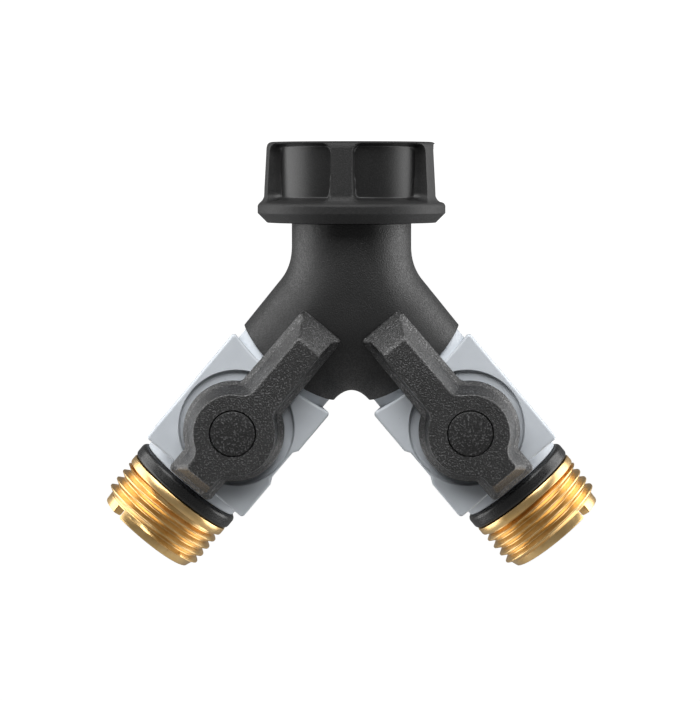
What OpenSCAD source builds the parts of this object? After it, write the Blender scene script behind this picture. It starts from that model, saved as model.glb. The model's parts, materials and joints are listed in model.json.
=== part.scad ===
// Two-way hose splitter: a swivel inlet nut, a Y-shaped body and two lever-operated ball valves
// that end in threaded brass hose outlets.
//
// The origin is the centre of the inlet nut's mouth. +Z is up, out of that mouth, and the valve
// levers face -Y. Every leg part is drawn in a leg frame: Z runs down the leg from the point
// where the two leg axes meet, X points to the inner side between the legs, and Y is the Y axis.

/* [Body] */
// Angle between each leg and the vertical
leg_angle = 40; // [38:1:42]
// Depth of the point where the leg axes meet, below the inlet mouth
junction_depth = 33.8; // [33:0.1:36]
// Outer radius of the neck and of the two bends
body_r = 13.85; // [13.8:0.05:14]
// Outer radius of each sleeve at its open end
sleeve_end_r = 13.55; // [13.5:0.05:13.7]
// Radius of the concave bend where the neck turns into a leg
shoulder_r = 11; // [10:0.5:12]
// Radius of the rounded crotch between the legs
crotch_r = 4.5; // [4:0.25:5]
// Radius of the water passage
passage_r = 8; // [7.8:0.1:8.2]

/* [Inlet nut] */
// Height of the nut
nut_h = 18.6; // [18:0.1:19]
// Outer radius of the nut at its mouth
nut_top_r = 19.7; // [19.5:0.1:20]
// Outer radius of the grip just above its flange
nut_low_r = 20.2; // [20:0.1:20.5]
// Outer radius of the flange
nut_flange_r = 21.75; // [21.5:0.05:22]
// Number of finger pockets round the nut
pocket_count = 5; // [4:1:5]
// Width of one finger pocket, in degrees
pocket_angle = 56; // [50:1:58]
// Radius of the floor of the finger pockets
pocket_floor_r = 17.2; // [16.8:0.1:17.6]
// Crest radius of the inlet's female thread
inlet_crest_r = 12.35; // [12.2:0.05:12.4]
// Root radius of the inlet's female thread
inlet_root_r = 13.5; // [13.45:0.05:13.6]

/* [Threads] */
// Pitch of both hose threads, 11.5 turns to the inch
pitch = 2.209; // [2.1:0.001:2.3]
// Crest radius of the outlet's male thread
outlet_crest_r = 13.45; // [13.3:0.05:13.5]
// Root radius of the outlet's male thread
outlet_root_r = 12.1; // [12:0.05:12.3]

/* [Valve housing] */
// Width and depth of the square valve block
block_w = 28.6; // [28.4:0.1:29]
// Distance from the junction to the lower end of the block
block_end = 55.8; // [55.6:0.1:56]
// Radius of the round collars at both ends of the block
collar_r = 12.7; // [12.5:0.1:12.9]
// Radius of the shallow round recess under the lever
recess_r = 13.1; // [12.8:0.1:13.2]
// Depth of that recess
recess_depth = 1.3; // [1.2:0.1:1.3]

/* [Ball valve] */
// Distance from the junction to the stem axis
stem_s = 41.6; // [41.4:0.1:41.8]
// Radius of the ball
ball_r = 8.6; // [8.5:0.05:8.7]
// Radius of the hole through the ball
port_r = 5.8; // [5:0.1:6]
// Radius of the valve stem
stem_r = 5; // [4.9:0.05:5.1]

/* [Lever] */
// Radius of the lever hub at its base
hub_r = 11.5; // [11:0.1:11.5]
// Distance from the leg axis to the lever's flat top
lever_top = 22.4; // [22:0.1:24]
// Length of the lever arm from the stem axis
arm_len = 30.7; // [28:0.1:32]
// Length of the pointer tail from the stem axis
tail_len = 16.6; // [15:0.1:17]
// Half width of the arm and tail at the base
arm_half = 5.9; // [5.5:0.1:6]

/* [Outlet] */
// Length of the brass outlet from its shoulder to its open end
outlet_len = 12.6; // [12:0.1:14]
// Radius of the bore at the open end
outlet_bore_r = 9.4; // [9.2:0.1:9.6]
// Outer radius of the black collar above the brass
lock_r = 13.65; // [13.5:0.05:13.8]
// Thickness of the black collar
lock_h = 3.45; // [3.3:0.05:3.6]

/* [Hidden] */
$fn = 96;

// Clearances
slip = 0.05;            // radial gap of a part that turns or seats in a bore
gap = 0.1;              // gap between faces that butt together
over = 1;               // how far a cutting shape runs past the surface it cuts
lap = 0.4;              // how far shapes that join run into each other
ease = 0.03;            // how much slimmer a bend is than the tubes at its ends

// Inlet
junction_z = -junction_depth;
neck_top = -nut_h - 0.25;
floor_z = -15.4;        // top of the nut's inner floor
washer_top = -9.7;
flange_t = 2.6;
tail_flange_r = 12;
tail_r = 10.5;
tail_bore_r = 7.6;
tail_end = -26;
socket_r = tail_r + 2 * slip;
neck_hole_r = tail_r + 0.25;
nut_chamfer = 2.2;
mouth_chamfer = 0.3;

// O-rings: the cord's radius, the groove's width, and where each ring sits
ring_r = 0.8;
groove_w = 2;
tail_ring_z = -23;
leg_ring_s = 19;
stem_ring_d = 12.9;

// Legs: the sleeve ends in an arc, and the housing's block has a flatter arc to match
bend_r = shoulder_r + body_r;
bend_end = bend_r * tan(leg_angle / 2);
bend_top = junction_z + bend_end;
sleeve_tip = 24.7;
sleeve_arc_r = 42.8;
block_tip = 26.1;
block_arc_r = 60;
leg_socket = 15;
leg_socket_r = 11.3;
spigot_r = leg_socket_r - 2 * slip;
spigot_len = 12;

// Valve housing
block_half = block_w / 2;
recess_s = 40.8;
face_d = block_half;
recess_d = face_d - recess_depth;
boss_r = 7.5;
boss_d = recess_d + 2;
cavity_r = ball_r + 0.7;
corner_r = 0.9;         // rounding of the block's long edges
seat_stop = stem_s - 7.6;
seat_back = stem_s + 7.6;
seat_face = 4.3;        // from the stem axis to each seat's ball side
seat_r = port_r + 0.6;  // waterway beside the upstream seat
ball_slip = 0.02;       // gap between the ball and its seats
fitting_ring_s = seat_back + 3;
fitting_bore_r = 10.6;
collar_end = block_end + 2.6;
notch_len = 7.6;
notch_depth = 0.8;

// Outlet, from the collar down
lock_top = collar_end + gap;
outlet_top = lock_top + lock_h + slip;
outlet_end = outlet_top + outlet_len;
thread_start = outlet_top + 2.1;
thread_end = outlet_end - 1.6;
slot_w = 2.6;
slot_depth = 2.1;
slot_turn = 43;
shoulder_chamfer = 0.5;
nose_chamfer = 0.4;

// Stem and lever, as distances from the leg axis towards the front
lever_base = recess_d + 0.3;
bar_base = face_d + 0.5;
bevel_d = lever_top - 1.8;
cap_floor = lever_top - 1.8;
head_floor = cap_floor - 1.9;
socket_top = head_floor - 1.1;
pocket_r = boss_r + 0.4;
pocket_top = boss_d + 0.3;
drive_w = 6;
drive_top = socket_top - gap;
screw_r = 1.5;
screw_end = 11.5;
head_r = 3.1;
head_h = 1.7;
cross_w = 0.8;          // width and depth of the screw's cross recess
shoulder_low = 9.3;
shoulder_d = 10.5;
collet_r = 6;
tang_w = 8;
tang_t = 2.9;
tang_low = 6.9;         // from the leg axis to the tang's end
cap_r = 5.25;
lug_orbit = 9.7;
lug_r = 0.9;
lug_h = 1.1;            // how far the stop lug hangs below the hub
hub_step = 1.3;         // how much the hub narrows up to its crease, and again up to its top
side_step = 1.2;        // the same for each side of the arm and tail
stop_from = 45;
stop_sweep = 90;

black = [0.1, 0.1, 0.105];
grey = [0.6, 0.63, 0.67];
brass = [0.84, 0.62, 0.3];
steel = [0.75, 0.76, 0.78];
white = [0.93, 0.93, 0.9];

// ---------------------------------------------------------------- placing

module right() translate([0, 0, junction_z]) rotate([0, 180 - leg_angle, 0]) children();
module left() mirror([1, 0, 0]) right() children();

// Stem frame: Z points to the front along the stem, Y down the leg, X to the inner side.
module on_stem() translate([0, 0, stem_s]) rotate([90, 0, 0]) children();

// Keeps the part of a shape on the +X side of the plane between the two legs.
module right_half() {
    intersection() {
        children();
        translate([0, -50, -100]) cube([100, 100, 150]);
    }
}

// A shape made of a right half and its mirror image.
module both_halves() {
    right_half() children();
    mirror([1, 0, 0]) right_half() children();
}

// ---------------------------------------------------------------- shared shapes

module ring(r_out, r_in, from, to) {
    translate([0, 0, from]) difference() {
        cylinder(r = r_out, h = to - from);
        translate([0, 0, -over]) cylinder(r = r_in, h = to - from + 2 * over);
    }
}

// An O-ring that just clears the bore of radius seat_r.
module o_ring(seat_r, at) {
    color(black) translate([0, 0, at]) rotate_extrude()
        translate([seat_r - slip - ring_r, 0]) circle(r = ring_r, $fn = 32);
}

// The groove that an O-ring of the same seat and place lies in.
module o_ring_groove(shaft_r, seat_r, at) {
    ring(shaft_r + over, seat_r - 2 * ring_r - 2 * slip, at - groove_w / 2, at + groove_w / 2);
}

// A tube that bends from the vertical neck into the right-hand leg, of any radius.
module bend(r) {
    translate([bend_r, 0, bend_top]) rotate([-90, 0, 0])
        rotate([0, 0, 180 - leg_angle]) rotate_extrude(angle = leg_angle)
            translate([bend_r, 0]) circle(r = r);
}

// A cylinder across the leg whose lower edge passes through tip with the arc radius r.
module arc_cutter(tip, r) {
    translate([0, 30, tip - r]) rotate([90, 0, 0]) cylinder(r = r, h = 60);
}

// ---------------------------------------------------------------- body and inlet

module y_outside() {
    both_halves() {
        translate([0, 0, bend_top - lap]) cylinder(r = body_r, h = neck_top - bend_top + lap);
        bend(body_r - ease);
        right() intersection() {
            translate([0, 0, bend_end - lap])
                cylinder(r1 = body_r, r2 = sleeve_end_r, h = sleeve_tip - bend_end + lap);
            arc_cutter(sleeve_tip, sleeve_arc_r);
        }
    }
    crotch_web();
}

// Fills the valley between the legs down to a rounded edge.
module crotch_web() {
    apex = junction_z - sleeve_end_r / sin(leg_angle);
    centre = apex - crotch_r / sin(leg_angle);
    foot_x = crotch_r * cos(leg_angle);
    foot_z = centre + crotch_r * sin(leg_angle);
    reach = 5;
    side_x = foot_x + reach * cos(leg_angle);
    side_z = foot_z + reach * sin(leg_angle);
    half_depth = 9;
    rotate([90, 0, 0]) translate([0, 0, -half_depth]) linear_extrude(height = 2 * half_depth)
        difference() {
            polygon([[0, junction_z - 10], [side_x, side_z], [foot_x, foot_z],
                     [-foot_x, foot_z], [-side_x, side_z]]);
            translate([0, centre]) circle(r = crotch_r);
        }
}

module y_passage() {
    both_halves() {
        translate([0, 0, bend_top - lap]) cylinder(r = passage_r, h = neck_top - bend_top + lap);
        bend(passage_r - ease);
        right() translate([0, 0, bend_end - lap])
            cylinder(r = passage_r, h = leg_socket - bend_end + lap + over);
    }
}

module y_body() {
    color(black) difference() {
        y_outside();
        y_passage();
        translate([0, 0, tail_end - gap]) cylinder(r = socket_r, h = neck_top - tail_end + gap + over);
        right() translate([0, 0, leg_socket]) cylinder(r = leg_socket_r, h = spigot_len);
        left() translate([0, 0, leg_socket]) cylinder(r = leg_socket_r, h = spigot_len);
    }
}

// Flanged tube, fixed in the neck, that the nut turns on.
module swivel_tail() {
    color(black) difference() {
        union() {
            translate([0, 0, tail_end]) cylinder(r = tail_r, h = floor_z - tail_end + gap + over);
            translate([0, 0, floor_z + gap]) cylinder(r = tail_flange_r, h = flange_t);
        }
        translate([0, 0, tail_end - over]) cylinder(r = tail_bore_r, h = washer_top - tail_end + over);
        o_ring_groove(tail_r, socket_r, tail_ring_z);
    }
}

module tail_o_ring() o_ring(socket_r, tail_ring_z);

// Flat sealing washer that a tap's end presses on.
module hose_washer() {
    color(black) ring(inlet_root_r - 0.5, tail_bore_r, floor_z + gap + flange_t + gap, washer_top);
}

// Half section of the nut: the outside from the bottom up, then the inside from the mouth down,
// with one V-shaped groove for each turn of thread.
function thread_groove(at) = [
    [inlet_crest_r, at + pitch * 0.43], [inlet_root_r, at + pitch * 0.08],
    [inlet_root_r, at - pitch * 0.08], [inlet_crest_r, at - pitch * 0.43]
];

module nut_section() {
    relief_r = inlet_root_r - 0.3;
    relief_top = washer_top + 0.2;
    mouth_r = inlet_crest_r + mouth_chamfer;
    polygon(concat(
        [[neck_hole_r, -nut_h], [nut_flange_r - nut_chamfer, -nut_h], [nut_flange_r, -nut_h + nut_chamfer],
         [nut_flange_r, -nut_h + 4.2], [nut_low_r + 0.4, -nut_h + 4.8],
         [nut_low_r, -nut_h + 6.2], [nut_top_r, -1], [nut_top_r - 1, 0],
         [mouth_r, 0], [inlet_crest_r, -mouth_chamfer]],
        [for (i = [0:3]) each thread_groove(-1.6 - i * pitch)],
        [[inlet_crest_r, relief_top], [relief_r, relief_top], [relief_r, floor_z],
         [neck_hole_r, floor_z]]
    ));
}

module nut_pocket() {
    low = -13.4;
    high = -0.7;
    rotate([0, 0, -pocket_angle / 2]) translate([0, 0, low]) rotate_extrude(angle = pocket_angle)
        translate([pocket_floor_r, 0]) square([nut_flange_r, high - low]);
}

module swivel_nut() {
    first_rib = -96.7;
    color(black) difference() {
        rotate_extrude() nut_section();
        for (i = [0:pocket_count - 1])
            rotate([0, 0, first_rib + (i + 0.5) * 360 / pocket_count]) nut_pocket();
    }
}

// ---------------------------------------------------------------- valve housing

// A square block along Z with rounded long edges.
module rounded_block(w, from, to, r) {
    h = to - from;
    translate([0, 0, from]) {
        translate([-w / 2 + r, -w / 2, 0]) cube([w - 2 * r, w, h]);
        translate([-w / 2, -w / 2 + r, 0]) cube([w, w - 2 * r, h]);
        for (x = [-1, 1], y = [-1, 1])
            translate([x * (w / 2 - r), y * (w / 2 - r), 0]) cylinder(r = r, h = h);
    }
}

// Arc slot in the recess floor that the lever's stop lug runs in.
module stop_slot() {
    width = lug_r + 0.2;
    rotate([0, 0, stop_from]) translate([0, 0, recess_d - 1]) {
        rotate_extrude(angle = stop_sweep)
            translate([lug_orbit - width, 0]) square([2 * width, 1 + over]);
        for (a = [0, stop_sweep])
            rotate([0, 0, a]) translate([lug_orbit, 0, 0]) cylinder(r = width, h = 1 + over);
    }
}

module housing_outside() {
    translate([0, 0, leg_socket + gap]) cylinder(r = spigot_r, h = spigot_len);
    difference() {
        translate([0, 0, leg_socket + 4]) cylinder(r = collar_r, h = collar_end - leg_socket - 4);
        arc_cutter(sleeve_tip + gap, sleeve_arc_r + gap);
    }
    difference() {
        rounded_block(block_w, leg_socket + 6, block_end, corner_r);
        arc_cutter(block_tip, block_arc_r);
        translate([0, -face_d + recess_depth, recess_s]) rotate([90, 0, 0])
            cylinder(r = recess_r, h = recess_depth + over);
        inner_notch();
    }
    on_stem() cylinder(r = boss_r, h = boss_d);
}

// Shallow notch with slanted ends across the inner side of the block.
module inner_notch() {
    low = notch_len / 2;
    high = low + 1.5 * notch_depth;
    rotate([90, 0, 0]) translate([0, 0, -block_w]) linear_extrude(height = 2 * block_w)
        polygon([
            [block_half - notch_depth, recess_s - low], [block_half, recess_s - high],
            [block_half + over, recess_s - high], [block_half + over, recess_s + high],
            [block_half, recess_s + high], [block_half - notch_depth, recess_s + low]
        ]);
}

module valve_housing() {
    color(grey) difference() {
        housing_outside();
        translate([0, 0, leg_socket]) cylinder(r = passage_r, h = seat_stop - leg_socket - 4);
        translate([0, 0, seat_stop - 4]) cylinder(r1 = passage_r, r2 = seat_r, h = 2);
        translate([0, 0, seat_stop - 2]) cylinder(r = seat_r, h = 2);
        translate([0, 0, seat_stop]) cylinder(r = cavity_r, h = seat_back - seat_stop);
        translate([0, 0, seat_back]) cylinder(r = fitting_bore_r, h = collar_end - seat_back + over);
        o_ring_groove(spigot_r, leg_socket_r, leg_ring_s);
        on_stem() {
            cylinder(r = collet_r + 3 * slip, h = shoulder_d + gap);
            cylinder(r = stem_r + slip, h = boss_d + over);
            stop_slot();
        }
    }
}

module housing_o_ring() o_ring(leg_socket_r, leg_ring_s);

// ---------------------------------------------------------------- ball valve

module upstream_seat() {
    color(white) difference() {
        ring(cavity_r - gap, port_r + 0.2, seat_stop + slip, stem_s - seat_face);
        translate([0, 0, stem_s]) sphere(r = ball_r + ball_slip);
    }
}

module downstream_seat() {
    color(white) difference() {
        ring(cavity_r - gap, port_r + 0.2, stem_s + seat_face, seat_back - slip);
        translate([0, 0, stem_s]) sphere(r = ball_r + ball_slip);
    }
}

// Ball with a straight port along the leg and a slot across it for the stem's tang.
module ball() {
    color(steel) difference() {
        translate([0, 0, stem_s]) sphere(r = ball_r);
        translate([0, 0, stem_s - ball_r - over]) cylinder(r = port_r, h = 2 * (ball_r + over));
        on_stem() translate([-ball_r, -tang_t / 2 - slip, tang_low - gap])
            cube([2 * ball_r, tang_t + 2 * slip, ball_r]);
    }
}

module valve_stem() {
    color(white) on_stem() difference() {
        union() {
            translate([-tang_w / 2, -tang_t / 2, tang_low])
                cube([tang_w, tang_t, shoulder_low - tang_low + lap]);
            translate([0, 0, shoulder_low]) cylinder(r = collet_r, h = shoulder_d - shoulder_low);
            translate([0, 0, shoulder_low]) cylinder(r = stem_r, h = boss_d - shoulder_low);
            translate([-drive_w / 2, -drive_w / 2, boss_d - over])
                cube([drive_w, drive_w, drive_top - boss_d + over]);
        }
        translate([0, 0, screw_end - lap]) cylinder(r = screw_r + slip, h = drive_top - screw_end + over);
        o_ring_groove(stem_r, stem_r + slip, stem_ring_d);
    }
}

module stem_o_ring() on_stem() o_ring(stem_r + slip, stem_ring_d);

// ---------------------------------------------------------------- lever

// The straight bar of arm and tail: a tapered section cut to a sloped side outline.
module lever_bar() {
    mid_half = arm_half - side_step;
    top_half = mid_half - side_step;
    nose = [0.8, 3.2];      // steep end of the arm, below its ramp
    ramp = 5.2;             // how far back the arm's flat top starts
    intersection() {
        rotate([90, 0, 0]) linear_extrude(height = 80, center = true) polygon([
            [-arm_half, bar_base], [arm_half, bar_base], [mid_half, bevel_d],
            [top_half, lever_top], [-top_half, lever_top], [-mid_half, bevel_d]
        ]);
        rotate([90, 0, 90]) linear_extrude(height = 40, center = true) polygon([
            [-arm_len, bar_base], [-arm_len + nose.x, bar_base + nose.y], [-arm_len + ramp, lever_top],
            [tail_len - 3.3, lever_top], [tail_len - 1.3, bevel_d], [tail_len, bar_base]
        ]);
    }
}

// Hollow under the arm, with one cross rib left standing.
module arm_core() {
    rib = 1.6;
    wall = 4;
    depth = 4;
    from = -arm_len + wall;
    length = arm_len - wall - hub_r - over;
    half = arm_half - 2 * side_step;
    difference() {
        translate([-half, from, bar_base - over]) cube([2 * half, length, depth + over]);
        translate([-arm_half, from + length / 2 - rib / 2, bar_base - over])
            cube([2 * arm_half, rib, depth + 2 * over]);
    }
}

module lever() {
    socket_w = drive_w + 2 * slip;
    color(black) on_stem() difference() {
        union() {
            translate([0, 0, lever_base])
                cylinder(r1 = hub_r, r2 = hub_r - hub_step, h = bevel_d - lever_base);
            translate([0, 0, bevel_d])
                cylinder(r1 = hub_r - hub_step, r2 = hub_r - 2 * hub_step, h = lever_top - bevel_d);
            lever_bar();
            rotate([0, 0, stop_from + stop_sweep]) translate([lug_orbit, 0, lever_base - lug_h])
                cylinder(r = lug_r, h = lug_h + over);
        }
        translate([0, 0, lever_base - over]) cylinder(r = pocket_r, h = pocket_top - lever_base + over);
        translate([-socket_w / 2, -socket_w / 2, boss_d])
            cube([socket_w, socket_w, socket_top - boss_d]);
        translate([0, 0, boss_d]) cylinder(r = screw_r + 3 * gap, h = cap_floor - boss_d);
        translate([0, 0, head_floor]) cylinder(r = head_r + 2 * gap, h = lever_top - head_floor);
        translate([0, 0, cap_floor]) cylinder(r = cap_r + gap, h = lever_top - cap_floor + over);
        arm_core();
    }
}

// Pan-head screw with a cross recess.
module lever_screw() {
    head = head_floor + slip;
    color(steel) on_stem() difference() {
        union() {
            translate([0, 0, screw_end]) cylinder(r = screw_r, h = head - screw_end + over);
            translate([0, 0, head]) cylinder(r = head_r, h = head_h);
        }
        for (a = [0, 90]) rotate([0, 0, a])
            translate([-head_r * 0.6, -cross_w / 2, head + head_h - cross_w])
                cube([head_r * 1.2, cross_w, cross_w + over]);
    }
}

// Round plug that hides the screw.
module lever_cap() {
    color(black) on_stem() {
        translate([0, 0, cap_floor + slip]) cylinder(r = cap_r, h = lever_top - cap_floor - gap);
    }
}

// ---------------------------------------------------------------- outlet

module outlet_collar() {
    r = 1;
    color(black) translate([0, 0, lock_top]) rotate_extrude() {
        translate([fitting_bore_r, 0]) square([lock_r - r - fitting_bore_r, lock_h]);
        translate([fitting_bore_r, r]) square([lock_r - fitting_bore_r, lock_h - 2 * r]);
        for (z = [r, lock_h - r]) translate([lock_r - r, z]) circle(r = r, $fn = 32);
    }
}

// Outline of the brass outlet's outside, with one V-shaped ridge for each turn of thread.
function thread_ridge(at) = [
    [outlet_root_r, at - pitch * 0.44], [outlet_crest_r, at - pitch * 0.1],
    [outlet_crest_r, at + pitch * 0.1], [outlet_root_r, at + pitch * 0.44]
];

module outlet_profile() {
    turns = floor((thread_end - thread_start) / pitch);
    ridges = [for (i = [0:turns - 1]) each thread_ridge(thread_start + (i + 0.5) * pitch)];
    spigot = fitting_bore_r - gap;
    polygon(concat(
        [[0, seat_back + slip], [spigot, seat_back + slip], [spigot, outlet_top],
         [outlet_crest_r, outlet_top], [outlet_crest_r, thread_start - shoulder_chamfer],
         [outlet_crest_r - shoulder_chamfer, thread_start], [outlet_root_r, thread_start]],
        ridges,
        [[outlet_root_r, outlet_end - nose_chamfer], [outlet_root_r - nose_chamfer, outlet_end],
         [0, outlet_end]]
    ));
}

module outlet_fitting() {
    color(brass) difference() {
        rotate_extrude() outlet_profile();
        translate([0, 0, seat_back - over]) cylinder(r = tail_bore_r, h = outlet_end - seat_back);
        translate([0, 0, outlet_top]) cylinder(r = outlet_bore_r, h = outlet_len + over);
        o_ring_groove(fitting_bore_r - gap, fitting_bore_r, fitting_ring_s);
        rotate([0, 0, -slot_turn])
            translate([-slot_w / 2, -lock_r, outlet_end - slot_depth])
                cube([slot_w, 2 * lock_r, slot_depth + over]);
    }
}

module fitting_o_ring() o_ring(fitting_bore_r, fitting_ring_s);

// ---------------------------------------------------------------- nodes

y_body();
swivel_tail();
tail_o_ring();
swivel_nut();
hose_washer();
left() valve_housing();  // valve_housing_left
right() valve_housing();  // valve_housing_right
left() housing_o_ring();  // housing_o_ring_left
right() housing_o_ring();  // housing_o_ring_right
left() upstream_seat();  // upstream_seat_left
right() upstream_seat();  // upstream_seat_right
left() downstream_seat();  // downstream_seat_left
right() downstream_seat();  // downstream_seat_right
left() ball();  // ball_left
right() ball();  // ball_right
left() valve_stem();  // valve_stem_left
right() valve_stem();  // valve_stem_right
left() stem_o_ring();  // stem_o_ring_left
right() stem_o_ring();  // stem_o_ring_right
left() lever();  // lever_left
right() lever();  // lever_right
left() lever_screw();  // lever_screw_left
right() lever_screw();  // lever_screw_right
left() lever_cap();  // lever_cap_left
right() lever_cap();  // lever_cap_right
left() outlet_collar();  // outlet_collar_left
right() outlet_collar();  // outlet_collar_right
left() outlet_fitting();  // outlet_fitting_left
right() outlet_fitting();  // outlet_fitting_right
left() fitting_o_ring();  // fitting_o_ring_left
right() fitting_o_ring();  // fitting_o_ring_right
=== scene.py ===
"""Looks of a two-way hose splitter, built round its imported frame.

A piece is shaped in millimetres, in the frame of the leg, stem or inlet that it belongs to, and its
place matrix then turns it into metres in the row frame.
"""

import json
import math

import bmesh
import bpy
import numpy as np
from mathutils import Matrix, Vector


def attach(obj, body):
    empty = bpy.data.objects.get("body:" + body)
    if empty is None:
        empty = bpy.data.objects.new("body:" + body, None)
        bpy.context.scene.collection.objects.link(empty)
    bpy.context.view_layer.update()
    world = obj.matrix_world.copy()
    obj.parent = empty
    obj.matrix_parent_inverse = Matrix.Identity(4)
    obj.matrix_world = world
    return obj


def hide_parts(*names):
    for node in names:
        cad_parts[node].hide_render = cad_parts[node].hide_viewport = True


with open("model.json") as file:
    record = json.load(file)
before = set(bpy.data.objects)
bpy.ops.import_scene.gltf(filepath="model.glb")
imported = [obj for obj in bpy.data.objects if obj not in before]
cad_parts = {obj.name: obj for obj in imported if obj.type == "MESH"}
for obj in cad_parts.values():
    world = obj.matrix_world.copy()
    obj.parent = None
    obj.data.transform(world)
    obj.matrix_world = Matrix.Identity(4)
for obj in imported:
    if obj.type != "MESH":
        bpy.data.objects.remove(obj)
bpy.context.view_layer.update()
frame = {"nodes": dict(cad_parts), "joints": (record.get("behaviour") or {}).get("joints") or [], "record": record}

MM = 0.001
mounts = {m["name"]: m for m in frame["record"]["mounts"]}
joints = {j["name"]: j for j in frame["joints"]}

# ---------------------------------------------------------------- places
# Leg frame: Z down the leg from where the two leg axes meet, X to the inner side, -Y to the front.
# Stem frame: Z to the front along the valve's stem, Y down the leg, X to the inner side.

leg_axis = Vector(mounts["outlet_right"]["axis"])
hinge = Vector(joints["valve_turn_right"]["pos_m"]) / MM
leg_angle = math.atan2(leg_axis.x, -leg_axis.z)
stem_s = hinge.x / leg_axis.x
junction_z = hinge.z - stem_s * leg_axis.z

ROW = Matrix.Scale(MM, 4)
MIRROR = Matrix.Scale(-1, 4, (1, 0, 0))
LEG = ROW @ Matrix.Translation((0, 0, junction_z)) @ Matrix.Rotation(math.pi - leg_angle, 4, "Y")
LEFT_LEG = ROW @ Matrix.Translation((0, 0, junction_z)) @ Matrix.Rotation(leg_angle - math.pi, 4, "Y")
STEM = LEG @ Matrix.Translation((0, 0, stem_s)) @ Matrix.Rotation(math.radians(90), 4, "X")
SIDES = {"right": 1, "left": -1}


def extent(node, place):
    """Lowest and highest corner of a CAD node in the frame of a place, in millimetres."""
    back = place.inverted()
    points = np.array([back @ v.co for v in frame["nodes"][node].data.vertices])
    return Vector(points.min(0)), Vector(points.max(0))


# ---------------------------------------------------------------- shaping tools


def rounded(corners, cuts=6):
    """Points of an open path through (x, y, radius) corners, each turned as an arc of its radius."""
    points = [Vector(corners[0][:2])]
    for before, corner, after in zip(corners, corners[1:], corners[2:]):
        here, radius = Vector(corner[:2]), corner[2]
        back, on = (Vector(p[:2]) - here for p in (before, after))
        half = back.angle(on) / 2
        if radius == 0 or half > math.radians(89.5):
            points.append(here)
            continue
        centre = here + (back.normalized() + on.normalized()).normalized() * radius / math.sin(half)
        start = here + back.normalized() * radius / math.tan(half) - centre
        turn = math.copysign(math.pi - 2 * half, -(back.x * on.y - back.y * on.x))
        points += [centre + Matrix.Rotation(turn * i / cuts, 2) @ start for i in range(cuts + 1)]
    points.append(Vector(corners[-1][:2]))
    return points


def fine(points, step):
    """The same path with no stretch longer than step."""
    out = [points[0]]
    for a, b in zip(points, points[1:]):
        count = max(1, math.ceil((b - a).length / step))
        out += [a.lerp(b, (i + 1) / count) for i in range(count)]
    return out


def wire(points, closed=False):
    """A bmesh that holds one path, given as (radius, height) points in the XZ plane."""
    bm = bmesh.new()
    verts = [bm.verts.new((r, 0, z)) for r, z in points]
    for a, b in zip(verts, verts[1:] + verts[:1] if closed else verts[1:]):
        bm.edges.new((a, b))
    return bm


def spin(bm, steps, turn=math.tau, rise=0):
    """Turns what bm holds about Z, rising by rise over each full turn: a short spin, copied by doubling."""
    doublings = 0
    while steps % 2 == 0 and steps > 16:
        steps, turn, doublings = steps // 2, turn / 2, doublings + 1
    lift = rise * turn / math.tau
    bmesh.ops.spin(
        bm, geom=bm.verts[:] + bm.edges[:], cent=(0, 0, 0), axis=(0, 0, 1), angle=turn,
        dvec=(0, 0, lift / steps), steps=steps,
    )
    for i in range(doublings):
        copy = bmesh.ops.duplicate(bm, geom=bm.verts[:] + bm.edges[:] + bm.faces[:])["geom"]
        verts = [g for g in copy if isinstance(g, bmesh.types.BMVert)]
        onward = Matrix.Translation((0, 0, lift * 2**i)) @ Matrix.Rotation(turn * 2**i, 4, "Z")
        bmesh.ops.transform(bm, matrix=onward, verts=verts)
    bmesh.ops.remove_doubles(bm, verts=bm.verts, dist=0.002)
    return bm


def turned(corners, steps=128, cuts=6, step=50):
    """A closed turned solid whose half section has these (radius, height, corner radius) corners."""
    path = fine(rounded(corners + corners[:1], cuts), step)[:-1]
    bm = spin(wire(path, closed=True), steps)
    bmesh.ops.delete(bm, geom=[e for e in bm.edges if e.is_wire], context="EDGES")
    bmesh.ops.recalc_face_normals(bm, faces=bm.faces)
    return bm


def rod(radius, low, high, steps=96):
    """A cylinder about Z from low to high."""
    bm = bmesh.new()
    middle = Matrix.Translation((0, 0, (low + high) / 2))
    bmesh.ops.create_cone(
        bm, cap_ends=True, segments=steps, radius1=radius, radius2=radius, depth=high - low,
        matrix=middle,
    )
    return bm


def bar(low, high):
    """A box between two corners."""
    bm = bmesh.new()
    low, high = Vector(low), Vector(high)
    size = Matrix.Diagonal((*(high - low), 1))
    bmesh.ops.create_cube(bm, size=1, matrix=Matrix.Translation((low + high) / 2) @ size)
    return bm


def slab(outline, low, high):
    """A closed outline of (x, z) points, given thickness along Y."""
    bm = wire(outline, closed=True)
    bmesh.ops.translate(bm, vec=(0, low, 0), verts=bm.verts)
    bmesh.ops.contextual_create(bm, geom=bm.edges)
    made = bmesh.ops.extrude_face_region(bm, geom=bm.faces[:], use_keep_orig=True)["geom"]
    far_side = [g for g in made if isinstance(g, bmesh.types.BMVert)]
    bmesh.ops.translate(bm, vec=(0, high - low, 0), verts=far_side)
    bmesh.ops.recalc_face_normals(bm, faces=bm.faces)
    return bm


def lofted(levels):
    """A closed solid through outlines of (x, y) points, one for each (outline, height) level."""
    bm = bmesh.new()
    below = []
    for outline, height in levels:
        verts = [bm.verts.new((*point, height)) for point in outline]
        here = [bm.edges.new(ends) for ends in zip(verts, verts[1:] + verts[:1])]
        if below:
            bmesh.ops.bridge_loops(bm, edges=below + here)
        below = here
    bmesh.ops.holes_fill(bm, edges=[e for e in bm.edges if e.is_boundary])
    bmesh.ops.recalc_face_normals(bm, faces=bm.faces)
    return bm


def arc(centre, radius, start, end, cuts=10):
    """Points of an arc, from one angle to another."""
    return [Vector(centre) + radius * Vector((math.cos(a), math.sin(a)))
            for a in np.linspace(start, end, cuts + 1)]


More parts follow.
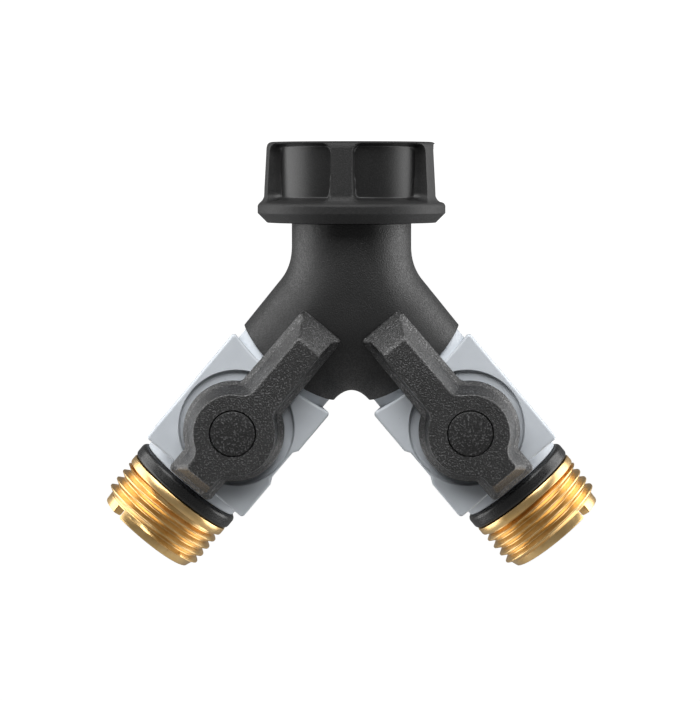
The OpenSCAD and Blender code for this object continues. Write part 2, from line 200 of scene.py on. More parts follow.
def across(tip, radius, half, cuts=24):
    """An arc across the leg that crosses its axis at tip, as (x, s) points."""
    sweep = math.asin(half / radius)
    return arc((0, tip - radius), radius, math.pi / 2 + sweep, math.pi / 2 - sweep, cuts)


def moved(bm, matrix):
    bmesh.ops.transform(bm, matrix=matrix, verts=bm.verts)
    if matrix.determinant() < 0:
        bmesh.ops.reverse_faces(bm, faces=bm.faces)
    return bm


def ring_edges(bm, test):
    """Edges of an open border whose two ends both pass the test."""
    return [e for e in bm.edges if e.is_boundary and all(test(v.co) for v in e.verts)]


def carry(bm, edges, places):
    """Extrudes a border again and again, moving each point by each place function in turn."""
    for place in places:
        new = bmesh.ops.extrude_edge_only(bm, edges=edges)["geom"]
        for vert in (g for g in new if isinstance(g, bmesh.types.BMVert)):
            vert.co = place(vert.co)
        edges = [g for g in new if isinstance(g, bmesh.types.BMEdge)]
    return edges


def to_ring(radius, height):
    """A place function that puts a point on a ring about Z."""

    def place(co):
        flat = Vector((co.x, co.y)).normalized() * radius
        return Vector((flat.x, flat.y, height))

    return place


def mesh_of(bm, name="shape"):
    mesh = bpy.data.meshes.new(name)
    bm.to_mesh(mesh)
    bm.free()
    return mesh


def finished(mesh, add_modifiers):
    """A new bmesh of what the modifiers that add_modifiers(object) sets make of a mesh."""
    host = bpy.data.objects.new("host", mesh)
    bpy.context.scene.collection.objects.link(host)
    add_modifiers(host)
    bpy.context.view_layer.update()
    made = host.evaluated_get(bpy.context.evaluated_depsgraph_get()).to_mesh()
    bm = bmesh.new()
    bm.from_mesh(made)
    bpy.data.objects.remove(host)
    return bm


def combined(base, tool, operation):
    """base with tool joined to it, cut from it or kept in common with it."""
    other = bpy.data.objects.new("tool", mesh_of(tool))
    bpy.context.scene.collection.objects.link(other)

    def add(host):
        boolean = host.modifiers.new("boolean", "BOOLEAN")
        boolean.operation = operation
        boolean.solver = "EXACT"
        boolean.use_self = False
        boolean.object = other

    bm = finished(mesh_of(base), add)
    bpy.data.objects.remove(other)
    return bm


def cut(base, *tools):
    for tool in tools:
        base = combined(base, tool, "DIFFERENCE")
    return base


def joined(base, *tools):
    for tool in tools:
        base = combined(base, tool, "UNION")
    return base


def sealed(bm):
    """Welds what the cuts left a hair apart, drops slivers and closes what pinholes it can."""
    hair = 0.002
    bmesh.ops.remove_doubles(bm, verts=bm.verts, dist=hair)
    bmesh.ops.dissolve_degenerate(bm, dist=hair, edges=bm.edges)
    for _ in range(3):
        stray = [f for e in bm.edges if len(e.link_faces) > 2 for f in e.link_faces if f.calc_area() < hair]
        bmesh.ops.delete(bm, geom=list(set(stray)), context="FACES")
        bmesh.ops.delete(bm, geom=[e for e in bm.edges if e.is_wire], context="EDGES")
        bmesh.ops.holes_fill(bm, edges=[e for e in bm.edges if e.is_boundary])
    bmesh.ops.edgenet_fill(bm, edges=[e for e in bm.edges if e.is_boundary])
    bmesh.ops.recalc_face_normals(bm, faces=bm.faces)
    return bm


def piece(name, bm, place, material, body, node, crease=35, weighted=False):
    """Places a shape, and makes it the piece that stands for a CAD node."""
    mesh = mesh_of(moved(bm, place), name)
    mesh.polygons.foreach_set("use_smooth", [True] * len(mesh.polygons))
    mesh.set_sharp_from_angle(angle=math.radians(crease))
    mesh.materials.append(material)
    made = bpy.data.objects.new(name, mesh)
    bpy.context.scene.collection.objects.link(made)
    if weighted:
        normals = made.modifiers.new("even_normals", "WEIGHTED_NORMAL")
        normals.keep_sharp = True
    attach(made, body)
    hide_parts(node)
    return made


# ---------------------------------------------------------------- materials


class Shade:
    """A socket of a material's nodes, or the nodes themselves; sums on it add Math nodes."""

    def __init__(self, tree, socket=None):
        self.tree, self.socket = tree, socket

    def node(self, kind, settings=None, out=0, **inputs):
        """Adds a node, sets it up, then sets or links its sockets, named with _ for a space."""
        made = self.tree.nodes.new("ShaderNode" + kind)
        for key, value in (settings or {}).items():
            if key == "stops":
                while len(made.color_ramp.elements) < len(value):
                    made.color_ramp.elements.new(1)
                for stop, (at, level) in zip(made.color_ramp.elements, value):
                    stop.position, stop.color = at, level
            else:
                setattr(made, key, value)
        for key, value in inputs.items():
            socket = made.inputs[int(key[1:])] if key[1:].isdigit() else made.inputs[key.replace("_", " ")]
            if isinstance(value, Shade):
                self.tree.links.new(value.socket, socket)
            else:
                socket.default_value = value
        return Shade(self.tree, made.outputs[out])

    def math(self, operation, *values):
        """A Math node that works on this socket, and on one more value if it takes two."""
        values = (self, *values)
        return self.node("Math", {"operation": operation}, **{f"i{i}": v for i, v in enumerate(values)})

    def __add__(self, other):
        return self.math("ADD", other)

    def __radd__(self, other):
        return self + other

    def __sub__(self, other):
        return self.math("SUBTRACT", other)

    def __rsub__(self, other):
        return self * -1 + other

    def __mul__(self, other):
        return self.math("MULTIPLY", other)

    def __rmul__(self, other):
        return self * other

    def clamped(self, low, high):
        """0 below low, 1 above high, and even in between."""
        return self.node("MapRange", {"clamp": True}, Value=self, From_Min=low, From_Max=high)

    def noise(self, size, detail=2, where=None):
        """Noise whose blobs are about size millimetres across."""
        if where is None:
            where = self.node("TexCoord", out="Object")
        return self.node("TexNoise", out="Fac", Vector=where, Scale=1 / (size * MM), Detail=detail)

    def blend(self, share, low, high):
        """A colour between two colours."""
        return self.node("Mix", {"data_type": "RGBA"}, out=2, i0=share, i6=low, i7=high)


def finish(name, build, **values):
    """A material of one principled shader. build(shade) gives the sockets that vary over a surface."""
    material = bpy.data.materials.new(name)
    material.use_nodes = True
    tree = material.node_tree
    principled = tree.nodes["Principled BSDF"]
    shade = Shade(tree)
    for key, value in {**values, **build(shade)}.items():
        socket = principled.inputs[key.replace("_", " ")]
        if isinstance(value, Shade):
            tree.links.new(value.socket, socket)
        else:
            socket.default_value = value
    return material


def grey(level):
    return (level, level, level * 1.02, 1)


def grained_plastic(name, dark, light, grain, share, bump, rough, gloss=0.5):
    """Moulded plastic with a spark-eroded grain of the given size in millimetres.

    The share of its surface that the light tips of the grain take up rises with share, from 0 to 1.
    The tips are partly the grain's own lighter tone and partly a painted glint of its sparkle.
    """

    def build(s):
        pits = s.noise(grain, 2)
        cloud = s.noise(9, 2)
        middle = 0.62 - 0.2 * share
        tips_and_glints = (pits * 0.9 + cloud * 0.1).clamped(middle - 0.05, middle + 0.07)
        return {
            # The grain tips get the light colour: the grain's own tone plus a painted glint.
            "Base_Color": s.blend(tips_and_glints, grey(dark), grey(light)),
            "Roughness": rough - 0.2 * tips_and_glints,
            "Normal": s.node("Bump", Height=pits, Strength=bump, Distance=grain * MM * 0.5),
        }

    return finish(name, build, Specular_IOR_Level=gloss)


def nut_plastic():
    """Black plastic with a fine grain, but polished in the finger pockets."""

    def build(s):
        where = s.node("TexCoord", out="Object")
        x, y = (s.node("SeparateXYZ", out=axis, Vector=where) for axis in ("X", "Y"))
        radius = (x * x + y * y).math("SQRT")
        outside = radius.clamped(18.2 * MM, 19.2 * MM)
        grain = s.noise(0.3, 2)
        return {
            "Base_Color": s.blend(grain.clamped(0.4, 0.65), grey(0.003), grey(0.010)),
            "Roughness": 0.42 + 0.2 * outside - 0.06 * grain,
            "Normal": s.node(
                "Bump", Height=grain * (0.3 + 0.7 * outside), Strength=0.6, Distance=0.12 * MM,
            ),
        }

    return finish("satin_black", build, Specular_IOR_Level=0.4)


def housing_plastic():
    """Satin blue-grey plastic with faint mottling and a few dark specks."""

    def build(s):
        cloud = s.noise(6, 3)
        speck = s.noise(0.8, 1).clamped(0.76, 0.80)
        tone = s.blend(cloud.clamped(0.3, 0.7), (0.535, 0.57, 0.61, 1), (0.59, 0.625, 0.665, 1))
        return {
            "Base_Color": s.blend(speck * 0.25, tone, grey(0.12)),
            "Roughness": 0.42 + 0.12 * cloud,
            "Normal": s.node("Bump", Height=s.noise(0.3, 2), Strength=0.15, Distance=0.06 * MM),
        }

    return finish("blue_grey_plastic", build, Specular_IOR_Level=0.5)


def brass_metal():
    """Machined brass with soft tarnish and faint scratches."""

    def build(s):
        cloud = s.noise(3.5, 4)
        stain = s.noise(1.1, 5).clamped(0.58, 0.74)
        scratch = s.noise(0.18, 2)
        tone = s.blend(cloud.clamped(0.3, 0.7), (0.72, 0.47, 0.19, 1), (0.82, 0.58, 0.28, 1))
        return {
            "Base_Color": s.blend(stain * 0.5, tone, (0.62, 0.33, 0.10, 1)),
            "Roughness": 0.24 + 0.16 * cloud + 0.1 * stain,
            "Normal": s.node("Bump", Height=scratch, Strength=0.12, Distance=0.03 * MM),
        }

    return finish("machined_brass", build, Metallic=1.0)


def plain_finish(name, colour, rough, metallic=0.0, variation=0.15):
    """A smooth finish whose tone and gloss drift a little over the surface."""

    def build(s):
        cloud = s.noise(4, 3)
        low = tuple(c * (1 - variation) for c in colour[:3]) + (1,)
        return {
            "Base_Color": s.blend(cloud, low, colour),
            "Roughness": rough + 0.1 * cloud,
            "Normal": s.node("Bump", Height=s.noise(0.3, 2), Strength=0.06, Distance=0.03 * MM),
        }

    return finish(name, build, Metallic=metallic)


finishes = {
    "body": grained_plastic("fine_grained_black", 0.004, 0.011, 0.32, 0.6, 0.5, 0.58, 0.45),
    "nut": nut_plastic(),
    # The light grain tips of the lever and the plug, far above their dark level, are chiefly painted glints.
    "lever": grained_plastic("coarse_grained_black", 0.001, 0.11, 0.40, 0.12, 1.0, 0.44, 0.75),
    "cap": grained_plastic("coarse_grained_plug", 0.002, 0.08, 0.42, 0.2, 0.9, 0.5, 0.5),
    "collar": grained_plastic("smooth_black", 0.006, 0.010, 0.25, 0.5, 0.10, 0.42, 0.45),
    "housing": housing_plastic(),
    "brass": brass_metal(),
    "rubber": plain_finish("seal_rubber", (0.018, 0.018, 0.019, 1), 0.6),
    "white": plain_finish("seat_white", (0.85, 0.85, 0.82, 1), 0.4),
    "ball": plain_finish("plated_ball", (0.82, 0.83, 0.85, 1), 0.1, 1.0),
    "steel": plain_finish("bright_screw", (0.62, 0.62, 0.64, 1), 0.25, 1.0),
}

# ---------------------------------------------------------------- threads

pitch = 2.209


def thread(crest, root, low, high, first, fade, steps=128):
    """A right-hand helical thread between two heights, faded out to root over fade at both ends.

    Its first ridge meets the X axis at the height first.
    """
    turns = math.ceil((high - low) / pitch) + 3
    half = pitch / 2
    ridge = rounded(
        [(root, -half, 0), (root, -0.44 * pitch, 0.2), (crest, -0.07 * pitch, 0.1),
         (crest, 0.07 * pitch, 0.1), (root, 0.44 * pitch, 0.2), (root, half, 0)],
        cuts=3,
    )
    bm = spin(wire(ridge), steps * turns, math.tau * turns, pitch)
    bmesh.ops.translate(bm, vec=(0, 0, first - 2 * pitch), verts=bm.verts)
    for vert in bm.verts:
        flat = Vector((vert.co.x, vert.co.y))
        share = min(1, max(0, min(vert.co.z - low, high - vert.co.z) - 0.05) / fade)
        radius = root + (flat.length - root) * share * share * (3 - 2 * share)
        vert.co = (*(flat.normalized() * radius), vert.co.z)
    for height, side in ((low, -1), (high, 1)):
        bmesh.ops.bisect_plane(
            bm, geom=bm.verts[:] + bm.edges[:] + bm.faces[:], dist=1e-5, plane_co=(0, 0, height),
            plane_no=(0, 0, side), clear_outer=True,
        )
    bmesh.ops.remove_doubles(bm, verts=bm.verts, dist=0.002)
    return bm


def at_height(height):
    return lambda co: abs(co.z - height) < 0.004


# ---------------------------------------------------------------- brass outlets

outlet_low, outlet_high = extent("outlet_fitting_right", LEG)
collar_high = extent("outlet_collar_right", LEG)[1]
crest_r = mounts["outlet_right"]["dims"]["r_mm"]
bore_r = mounts["outlet_bore_right"]["dims"]["r_mm"]
root_r = 12.1
shoulder_s = collar_high.z + 0.05
end_s = outlet_high.z
plain_shoulder, plain_nose = 2.1, 1.7
first_ridge = shoulder_s + 3.65
spanner_half, spanner_depth, spanner_turn = 1.3, 2.1, math.radians(43)


def outlet_fitting(side):
    """Brass outlet: plain shoulder, hose thread, a short plain nose with two spanner slots."""
    low, high = shoulder_s + plain_shoulder, end_s - plain_nose
    first = first_ridge - (pitch / 2 if side < 0 else 0)
    spigot_r, spigot_end, inner_r = 10.5, outlet_low.z, 7.6
    bm = thread(crest_r, root_r, low, high, first, 0.5)
    top = carry(bm, ring_edges(bm, at_height(low)), [
        to_ring(root_r + 0.1, low - 0.1), to_ring(crest_r - 0.45, low - 0.1),
        to_ring(crest_r - 0.12, low - 0.2), to_ring(crest_r, low - 0.5),
        to_ring(crest_r, shoulder_s + 0.3), to_ring(crest_r - 0.1, shoulder_s + 0.08),
        to_ring(crest_r - 0.35, shoulder_s), to_ring(spigot_r, shoulder_s),
        to_ring(spigot_r, spigot_end + 0.3), to_ring(spigot_r - 0.3, spigot_end),
        to_ring(inner_r, spigot_end), to_ring(inner_r, shoulder_s), to_ring(bore_r, shoulder_s + 1.4),
    ])
    nose = carry(bm, ring_edges(bm, at_height(high)), [
        to_ring(root_r, end_s - 0.45), to_ring(root_r - 0.13, end_s - 0.14),
        to_ring(root_r - 0.45, end_s), to_ring(bore_r + 0.4, end_s),
        to_ring(bore_r + 0.1, end_s - 0.12), to_ring(bore_r, end_s - 0.4),
    ])
    bmesh.ops.bridge_loops(bm, edges=top + nose)
    bmesh.ops.recalc_face_normals(bm, faces=bm.faces)
    slot = bar((-spanner_half, -20, end_s - spanner_depth), (spanner_half, 20, end_s + 2))
    return cut(bm, moved(slot, Matrix.Rotation(-side * spanner_turn, 4, "Z")))


# ---------------------------------------------------------------- inlet nut

nut_low, nut_high = extent("swivel_nut", ROW)
pocket_count = 5
first_rib = math.radians(-96.7)
pocket_half = math.radians(29.3)
pocket_middle, pocket_reach, pocket_corner = -7.2, 6.85, 2.3
steep_wall, low_wall_extra, low_wall_start, low_wall_run = 0.95, 0.65, -7.25, 6
pocket_floor_r = 17.25


def pocket_depth(co):
    """How deep the finger pockets cut at a point of the nut's outside: 0 outside them, 1 on the floor."""
    sector = math.tau / pocket_count
    angle = (math.atan2(co.y, co.x) + sector) % sector - sector / 2
    radius = math.hypot(co.x, co.y)
    below = min(1, max(0, (low_wall_start - co.z) / low_wall_run))
    wall = steep_wall + low_wall_extra * below
    sideways = abs(angle) * radius - (pocket_half * radius - pocket_corner)
    up = abs(co.z - pocket_middle) - (pocket_reach - pocket_corner)
    inward = math.hypot(max(sideways, 0), max(up, 0)) + min(max(sideways, up), 0)
    share = min(1, max(0, (pocket_corner - inward) / wall))
    ease = 0.18
    lifted = (math.hypot(share, ease) - ease) / (math.hypot(1, ease) - ease)
    return 1 - (1 - lifted) ** 2.3


def swivel_nut():
    """Inlet nut: five finger pockets, a flange and a female hose thread."""
    bottom, flange = nut_low.z, nut_high.x
    flange_top, flare_top = bottom + 4.1, bottom + 5.5
    top_r, low_r = 19.7, 20.2
    hole, mouth, relief, ledge = 10.75, 12.65, 13.2, -15.4
    crest, root = mounts["inlet"]["dims"]["r_mm"], 13.5
    thread_high, thread_low = -0.5, -9.5
    outside = rounded([
        (relief, thread_low, 0), (relief, ledge, 0.3), (hole, ledge, 0.2), (hole, bottom, 0.3),
        (flange - 2.2, bottom, 0.15), (flange, bottom + 2.2, 0.25), (flange, flange_top, 0.9),
        (low_r + 0.1, flare_top, 2.2), (low_r, bottom + 8, 0), (top_r, -1.5, 0.5),
        (top_r - 0.3, 0, 1.2), (mouth, 0, 0.3), (mouth - 0.02, thread_high, 0),
    ])
    outside = [p for p in fine(outside, 0.24) if p.x > pocket_floor_r or p in outside]
    bm = spin(wire(outside), 480)
    for vert in bm.verts:
        flat = Vector((vert.co.x, vert.co.y))
        if flat.length > pocket_floor_r + 1 and vert.co.z > bottom + 3:
            radius = flat.length + (pocket_floor_r - flat.length) * pocket_depth(vert.co)
            vert.co = (*(flat.normalized() * radius), vert.co.z)
    inside = thread(root, crest, thread_low, thread_high, thread_low, 0.9)
    tests = at_height(thread_low), at_height(thread_high)
    borders = [ring_edges(bm, test) for test in tests]
    bm.from_mesh(mesh_of(inside))
    for test, border in zip(tests, borders):
        known = set(border)
        bmesh.ops.bridge_loops(bm, edges=border + [e for e in ring_edges(bm, test) if e not in known])
    bmesh.ops.recalc_face_normals(bm, faces=bm.faces)
    return moved(bm, Matrix.Rotation(first_rib, 4, "Z"))


# ---------------------------------------------------------------- Y body

body_r, sleeve_end_r, shoulder_r = 13.85, 13.55, 11
sleeve_tip, sleeve_arc_r = 24.7, 42.8
neck_top = extent("y_body", ROW)[1].z
bend_r = shoulder_r + body_r
bend_end = bend_r * math.tan(leg_angle / 2)
bend_top = junction_z + bend_end
socket_s, socket_r, passage_r = 15, 11.3, 8
neck_socket_r, neck_socket_z = 10.6, -26.1
crotch_fill, face_rounding = 6.4, 1.2


def tube_skin(points, side):
    """Distance of points from the skin of the tube that bends from the neck into one leg."""
    x, y, z = points[:, 0] * side, points[:, 1], points[:, 2]
    across, down = bend_r - x, bend_top - z
    angle = np.arctan2(down, across)
    in_neck = np.hypot(x, y) - body_r
    in_bend = np.hypot(np.hypot(across, down) - bend_r, y) - body_r
    s = x * math.sin(leg_angle) - (z - junction_z) * math.cos(leg_angle)
    u = x * math.cos(leg_angle) + (z - junction_z) * math.sin(leg_angle)
    slim = (s - bend_end) / (sleeve_tip - bend_end) * (body_r - sleeve_end_r)
    in_leg = np.hypot(u, y) - body_r + slim
    return np.where(angle < 0, in_neck, np.where(angle < leg_angle, in_bend, in_leg))


def y_skin(points):
    """Distance of points from the outside of the Y, with the crease between the legs filled."""
    right, left = tube_skin(points, 1), tube_skin(points, -1)
    depth = np.clip((bend_top + 1 - points[:, 2]) / 16, 0, 1)
    reach = 0.01 + crotch_fill * depth * depth * (3 - 2 * depth)
    near = np.maximum(reach - abs(right - left), 0)
    both = np.minimum(right, left) - near * near / reach / 4
    flat = abs(points[:, 1]) - body_r
    near = np.maximum(face_rounding - abs(both - flat), 0)
    return np.maximum(both, flat) + near * near / face_rounding / 4


def settle(points, rounds=4):
    """Moves points onto the outside of the Y."""
    small = 0.01
    for _ in range(rounds):
        here = y_skin(points)
        slope = np.stack([
            (y_skin(points + small * axis) - y_skin(points - small * axis)) / (2 * small)
            for axis in np.eye(3)
        ], 1)
        points = points - slope * (here / np.maximum((slope * slope).sum(1), 0.2))[:, None]
    return points


def leg_place(side):
    """From a leg's frame to the row frame in millimetres, with no mirroring."""
    turn = Matrix.Rotation(side * (math.pi - leg_angle), 4, "Y")
    return Matrix.Translation((0, 0, junction_z)) @ turn


def ball_at(radius, height):
    bm = bmesh.new()
    at = Matrix.Translation((0, 0, height))
    bmesh.ops.create_uvsphere(bm, u_segments=64, v_segments=32, radius=radius, matrix=at)
    return bm


def y_outside():
    """Closed skin of the Y, longer than the real one at its three ends."""
    bm = rod(body_r, junction_z, neck_top + 3)
    for side in SIDES.values():
        bm.from_mesh(mesh_of(moved(rod(body_r, 0, sleeve_tip + 4), leg_place(side))))
    bm.from_mesh(mesh_of(ball_at(body_r, junction_z)))

    def remesh(host):
        voxels = host.modifiers.new("voxels", "REMESH")
        voxels.mode = "VOXEL"
        voxels.voxel_size = 0.42

    bm = finished(mesh_of(bm), remesh)
    for _ in range(3):
        bmesh.ops.smooth_vert(
            bm, verts=bm.verts, factor=0.5, use_axis_x=True, use_axis_y=True, use_axis_z=True,
        )
        points = settle(np.array([v.co for v in bm.verts]))
        for vert, point in zip(bm.verts, points):
            if vert.co.z < neck_top + 2:
                vert.co = point
    return bm


def y_body():
    """Moulded Y: a neck and two sleeves whose open ends are cut to an arc, hollow inside."""
    bm = cut(y_outside(), bar((-30, -30, neck_top), (30, 30, neck_top + 10)))
    bm = cut(bm, rod(neck_socket_r, neck_socket_z, neck_top + 1),
             rod(passage_r, junction_z, neck_socket_z + 1),
             ball_at(passage_r + 0.3, junction_z))
    for side in SIDES.values():
        beyond = across(sleeve_tip, sleeve_arc_r, 16) + [Vector((16, 40)), Vector((-16, 40))]
        for tool in (slab(beyond, -30, 30), rod(passage_r, 0, socket_s + 1), rod(socket_r, socket_s, 40)):
            bm = cut(bm, moved(tool, leg_place(side)))
    return bm


# ---------------------------------------------------------------- valve blocks

block_high = extent("valve_housing_right", LEG)[1]
block_half, collar_end = block_high.x, block_high.z
stem = Matrix.Translation((0, 0, stem_s)) @ Matrix.Rotation(math.radians(90), 4, "X")
recess_s = 40.8
recess_r, boss_r, drawn_down = 13.1, 7.5, 2
stop_orbit = 9.7


def block_outline():
    """Front outline of the square block: an arc at the top, a shallow notch on the inner side."""
    edge, foot, corner, notch = block_half, 55.8, 0.85, 0.8
    top = -33.9 + math.sqrt(60**2 - edge**2)
    arch = [(*p, 0) for p in across(26.1, 60, edge - 1.9)]
    corners = [(0, foot, 0), (-edge, foot, corner), (-edge, top, corner), *arch, (edge, top, corner)]
    for along, depth in ((-5, 0), (-3.8, notch), (3.8, notch), (5, 0)):
        corners.append((edge - depth, recess_s + along, 0))
    corners += [(edge, foot, corner), (0, foot, 0)]
    return rounded(corners)[:-1]


def stop_slot():
    """Arc slot that the lever's stop lug runs in."""
    orbit, half, floor_d, top_d = stop_orbit, 1.1, 12, 14
    inner_r, outer_r = orbit - half, orbit + half
    section = [(inner_r, floor_d), (outer_r, floor_d), (outer_r, top_d), (inner_r, top_d)]
    arc_part = spin(wire(section, closed=True), 14, math.radians(90))
    bmesh.ops.holes_fill(arc_part, edges=[e for e in arc_part.edges if e.is_boundary])
    bmesh.ops.recalc_face_normals(arc_part, faces=arc_part.faces)
    moved(arc_part, Matrix.Rotation(math.radians(45), 4, "Z"))
    ends = [moved(rod(half, floor_d, top_d, 24), Matrix.Rotation(math.radians(a), 4, "Z") @
                  Matrix.Translation((orbit, 0, 0))) for a in (45, 135)]
    return arc_part, *ends


def valve_block():
    """Square block between two round collars, with a round recess and a boss under the lever.

    Its upper rear edge is drawn down the leg, so that only the front corners show from the front.
    """
    block = slab(block_outline(), -block_half, block_half)
    for vert in block.verts:
        if vert.co.y > 0 and vert.co.z < 35:
            vert.co.z += drawn_down
    rim = [e for e in block.edges if abs(e.verts[0].co.y) == abs(e.verts[1].co.y) and
           e.verts[0].co.y == e.verts[1].co.y]
    bmesh.ops.bevel(block, geom=rim, offset=0.6, offset_type="OFFSET", segments=4, profile=0.5,
                    affect="EDGES", material=-1, clamp_overlap=False)
    collar = turned([(0, 19, 0), (12.7, 19, 0), (12.7, collar_end, 0.35), (0, collar_end, 0)])
    under_sleeve = across(sleeve_tip + 0.1, sleeve_arc_r + 0.1, 16) + [Vector((16, 5)), Vector((-16, 5))]
    collar = cut(collar, slab(under_sleeve, -30, 30))
    spigot = turned([(0, 15.1, 0), (11.2, 15.1, 0.3), (11.2, 18, 0), (9.6, 18, 0), (9.6, 20, 0),
                     (11.2, 20, 0), (11.2, 27, 0), (0, 27, 0)])
    boss = moved(turned([(0, 5, 0), (boss_r, 5, 0), (boss_r, 15, 0.3), (0, 15, 0)]), stem)
    bm = joined(block, collar, spigot, boss)
    face = block_half
    inner_r, outer_r = boss_r + 0.02, recess_r + 1.5
    recess = turned([
        (inner_r, 13, 0), (recess_r, 13, 0.45), (recess_r, face + 0.02, 0.4),
        (outer_r, face + 0.05, 0), (outer_r, face + 3, 0), (inner_r, face + 3, 0),
    ], 160)
    recess = moved(recess, stem @ Matrix.Translation((0, recess_s - stem_s, 0)))
    round_boss = moved(rod(boss_r, 12, 20), stem)
    bm = cut(bm, cut(recess, round_boss))
    bm = cut(bm, turned([(0, 10, 0), (8, 10, 0), (8, 30, 0), (6.4, 32, 0), (6.4, 34, 0), (9.3, 34, 0),
                         (9.3, 49.2, 0), (10.6, 49.2, 0), (10.6, 62, 0), (0, 62, 0)]))
    bores = turned([(0, 4, 0), (6.15, 4, 0), (6.15, 10.6, 0), (5.05, 10.6, 0), (5.05, 17, 0), (0, 17, 0)])
    return cut(bm, *(moved(tool, stem) for tool in (bores, *stop_slot())))


# ---------------------------------------------------------------- levers

lever_low, lever_high = extent("lever_right", STEM)
hub_r, lever_top = lever_high.x, lever_high.z
arm_len, tail_len = -lever_low.y, lever_high.y
ledge_d, ramp_start, ramp_run = 16.5, 15.2, 5.2
longer_arm, shorter_tail = 0.7, 0.6


def lever_half(inset, hub_draw, arm_draw, tip_y, tail_y):
    """One side of the lever's outline from its tip to its tail, drawn in from the skirt by inset."""
    hub, arm, tail = hub_r - hub_draw * inset, 5.9 - arm_draw * inset, 6 - inset
    fillet = 1.5 + 0.7 * inset
    arm_y, tail_start = (math.sqrt((hub + fillet) ** 2 - (half + fillet) ** 2) for half in (arm, tail))
    arm_turn = math.atan2(arm_y, arm + fillet)
    tail_turn = math.atan2(tail_start, tail + fillet)
    path = rounded([(0, tip_y, 0), (0.96 * arm, tip_y, 0.7), (arm, -arm_y, 0)])[:-1]
    path += arc((arm + fillet, -arm_y), fillet, math.pi, math.pi - arm_turn)
    path += arc((0, 0), hub, -arm_turn, tail_turn, 36)[1:-1]
    path += arc((tail + fillet, tail_start), fillet, math.pi + tail_turn, math.pi)
    return path + rounded([(tail, tail_start, 0), (tail, tail_y, 1.1), (0, tail_y, 0)])[1:]


def lever_outline(inset, d):
    """Outline of the lever at distance d from the leg's axis: a steep inner side, a sloping outer one."""
    outer_line = np.interp(d, (ledge_d, ledge_d + 1, lever_top), (0, 1, 2.8))
    inner_line = np.interp(
        d, (ledge_d - 0.7, ledge_d + 0.3, ledge_d + 0.5, lever_top), (0, 1.2, 1.35, 1.9)
    )
    inner = inset + float(inner_line - outer_line)
    ramp = max(0, d - ramp_start) / (lever_top - ramp_start) * ramp_run
    tip_y = -arm_len - longer_arm + ramp + max(0, inset - 2.6)
    tail_y = tail_len - shorter_tail - 1.25 * inset
    inside = lever_half(inner, 1, 1, tip_y, tail_y)
    outside = lever_half(inset, 0.92, 1.2, tip_y, tail_y)
    return inside + [Vector((-p.x, p.y)) for p in reversed(outside[1:-1])]


def lever():
    """Quarter-turn lever: a skirt, a ledge and a steep wall up to a flat top, hollow underneath."""
    base, boss_top = 13.3, 15
    section = rounded([
        (0, base, 0), (0, ledge_d, 0.4), (1, ledge_d + 1, 0.4), (2.8, lever_top, 0.5),
        (6, lever_top, 0),
    ])
    bm = lofted([(lever_outline(inset, d), d) for inset, d in fine(section[:-1], 0.25)])
    lug = moved(rod(0.9, 12.2, 14, 24), Matrix.Rotation(math.radians(135), 4, "Z") @
                Matrix.Translation((stop_orbit, 0, 0)))
    bm = joined(bm, lug)
    return cut(
        bm,
        turned([(hub_r - 0.15, 12.6, 0), (40, 12.6, 0), (40, 14.8, 0), (hub_r - 0.15, 14.8, 0)]),
        rod(7.9, 12, boss_top + 0.3), bar((-3.05, -3.05, 15), (3.05, 3.05, 17.6)),
        rod(1.8, 17, 21), rod(3.3, 18.7, 21),
        turned([(0, 20.6, 0), (5.2, 20.6, 0), (5.2, 22.1, 0.3), (5.45, 22.5, 0), (5.45, 23, 0), (0, 23, 0)]),
        bar((-3.4, -26.7, 13), (3.4, -21.2, 18.6)), bar((-3.4, -19.6, 13), (3.4, -14, 18.6)),
    )


def lever_cap():
    """Round plug over the lever's screw."""
    radius, low, high = 5.08, 20.65, lever_top - 0.03
    return turned([(0, low, 0), (radius, low, 0.15), (radius, high, 0.3), (0, high, 0)])


# ---------------------------------------------------------------- assembly

piece("inlet_nut", swivel_nut(), ROW, finishes["nut"], "inlet_nut", "swivel_nut")
piece("y_moulding", sealed(y_body()), ROW, finishes["body"], "body", "y_body", crease=50)
block, arm, plug = sealed(valve_block()), sealed(lever()), lever_cap()
for side_name, side in SIDES.items():
    mirror = Matrix.Identity(4) if side > 0 else MIRROR
    piece(f"brass_outlet_{side_name}", outlet_fitting(side), LEG if side > 0 else LEFT_LEG,
          finishes["brass"], "body", f"outlet_fitting_{side_name}")
    piece(f"valve_block_{side_name}", block.copy(), mirror @ LEG, finishes["housing"], "body",
          f"valve_housing_{side_name}", weighted=True)
    piece(f"quarter_turn_lever_{side_name}", arm.copy(), mirror @ STEM, finishes["lever"],
          f"valve_{side_name}", f"lever_{side_name}", crease=40, weighted=True)
    piece(f"screw_plug_{side_name}", plug.copy(), mirror @ STEM, finishes["cap"],
          f"valve_{side_name}", f"lever_cap_{side_name}")

node_finish = {
    "swivel_tail": "body", "tail_o_ring": "rubber", "hose_washer": "rubber", "valve_housing": "housing",
    "housing_o_ring": "rubber", "upstream_seat": "white", "downstream_seat": "white", "ball": "ball",
    "valve_stem": "white", "stem_o_ring": "rubber", "lever": "lever", "lever_screw": "steel",
    "lever_cap": "cap", "outlet_collar": "collar", "outlet_fitting": "brass", "fitting_o_ring": "rubber",
    "y_body": "body", "swivel_nut": "nut",
}
for name, node in frame["nodes"].items():
    kind = name.removesuffix("_left").removesuffix("_right")
    node.data.materials.clear()
    node.data.materials.append(finishes[node_finish[kind]])

# ---------------------------------------------------------------- studio

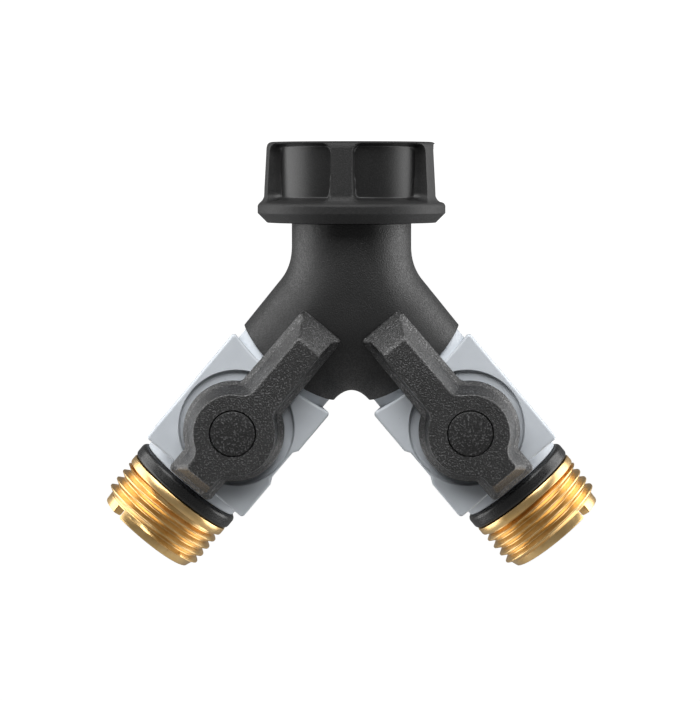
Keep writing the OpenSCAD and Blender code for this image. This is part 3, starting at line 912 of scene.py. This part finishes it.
scene = bpy.context.scene
scene.view_settings.view_transform = "Standard"
target = Vector((-0.00035, 0, -0.04835))
distance, eye_height = 0.62, -0.007
tilt = math.asin((eye_height - target.z) / distance)
camera_data = bpy.data.cameras.new("camera")
camera_data.lens = 220.8 * distance
camera = bpy.data.objects.new("camera", camera_data)
scene.collection.objects.link(camera)
camera.location = target + distance * Vector((0, -math.cos(tilt), math.sin(tilt)))
camera.rotation_euler = (math.pi / 2 - tilt, 0, 0)
scene.camera = camera


def softbox(name, at, look, size, power):
    """A rectangular area light, aimed at a point."""
    data = bpy.data.lights.new(name, "AREA")
    data.shape = "RECTANGLE"
    data.size, data.size_y = size
    data.energy = power
    light = bpy.data.objects.new(name, data)
    light.location = at
    light.rotation_euler = (Vector(look) - Vector(at)).to_track_quat("-Z", "Y").to_euler()
    scene.collection.objects.link(light)


middle = (0, 0, -0.05)
softbox("left_box", (-0.6, 0.1, -0.03), middle, (0.55, 1.4), 7.4)
softbox("right_box", (0.6, 0.1, 0), middle, (0.55, 1.4), 9)
softbox("front_box", (-0.08, -0.5, 0.55), middle, (1.1, 0.6), 10)


def backdrop(tree, seen, mirrored, dim):
    """Strength of a white backdrop: as looked at, as mirrored in the object, and as a light on it."""
    rays = [Shade(tree).node("LightPath", out=kind) for kind in ("Is Camera Ray", "Is Glossy Ray")]
    return rays[0] * (seen - dim) + rays[1] * (mirrored - dim) + dim


world = bpy.data.worlds.new("studio")
world.use_nodes = True
scene.world = world
background = world.node_tree.nodes["Background"]
background.inputs["Color"].default_value = (1, 1, 1, 1)
world.node_tree.links.new(backdrop(world.node_tree, 1.1, 0.2, 0.08).socket, background.inputs["Strength"])

floor_mesh = bmesh.new()
bmesh.ops.create_grid(floor_mesh, x_segments=1, y_segments=1, size=30)
floor = bpy.data.objects.new("floor", mesh_of(moved(floor_mesh, Matrix.Translation((0, 0, -0.9))), "floor"))
scene.collection.objects.link(floor)
pale = plain_finish("pale_floor", (0.35, 0.35, 0.35, 1), 0.9, variation=0.01)
glow = pale.node_tree.nodes["Principled BSDF"].inputs
glow["Emission Color"].default_value = (1, 1, 1, 1)
pale.node_tree.links.new(backdrop(pale.node_tree, 1.0, 0.2, 0.0).socket, glow["Emission Strength"])
floor.data.materials.append(pale)
